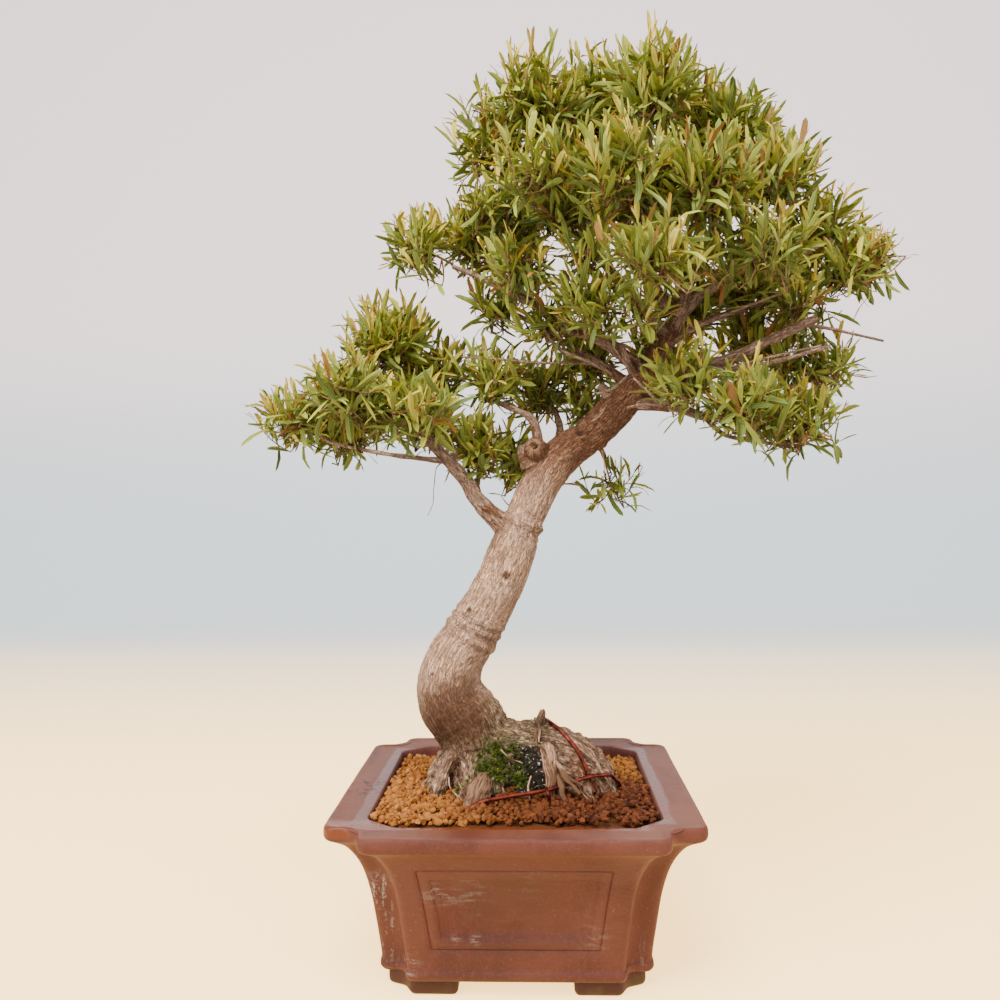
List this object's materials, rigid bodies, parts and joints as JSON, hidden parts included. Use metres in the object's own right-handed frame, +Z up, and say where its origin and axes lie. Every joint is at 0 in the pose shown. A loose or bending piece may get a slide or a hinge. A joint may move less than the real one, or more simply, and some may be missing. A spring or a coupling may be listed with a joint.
{
  "type": "willow leaf fig bonsai",
  "caption": "Willow leaf fig bonsai with a slanting trunk and leafy pads, standing in a square notched clay pot with soil and anchor wires.",
  "frame": {"origin": "under the middle of the whole tree's box, on the surface that the pot's feet stand on", "axes": "+Z up, +X to the right and +Y away from the viewer of the tree's front"},
  "size_m": [0.5703, 0.3038, 0.8135],
  "materials": {
    "pot_clay": "unglazed matte",
    "akadama": "matte grains",
    "bark": "matte bark",
    "leaf": "satin leaf",
    "copper": "dull copper wire",
    "screen_plastic": "matte"
  },
  "bodies": {
    "root": {"pot": "pot_clay", "soil": "akadama", "trunk": "bark", "drain_screen": "screen_plastic", "wire_over": "copper", "wire_front": "copper", "spray_left_1": "leaf", "spray_left_2": "leaf", "spray_left_3": "leaf", "spray_left_4": "leaf", "spray_left_5": "leaf", "spray_left_6": "leaf", "spray_middle_1": "leaf", "spray_middle_2": "leaf", "spray_middle_3": "leaf", "spray_upper_1": "leaf", "spray_upper_2": "leaf", "spray_upper_3": "leaf", "spray_crown_1": "leaf", "spray_crown_2": "leaf", "spray_crown_3": "leaf", "spray_crown_4": "leaf", "spray_crown_5": "leaf", "spray_crown_6": "leaf", "spray_crown_7": "leaf", "spray_crown_8": "leaf", "spray_crown_9": "leaf", "spray_crown_10": "leaf", "spray_crown_11": "leaf", "spray_crown_12": "leaf", "spray_right_1": "leaf", "spray_right_2": "leaf", "spray_right_3": "leaf", "spray_right_4": "leaf", "spray_right_5": "leaf", "spray_low_1": "leaf", "spray_low_2": "leaf", "spray_low_3": "leaf", "spray_low_4": "leaf", "spray_low_5": "leaf", "spray_hanging_1": "leaf"}
  },
  "joints": []
}
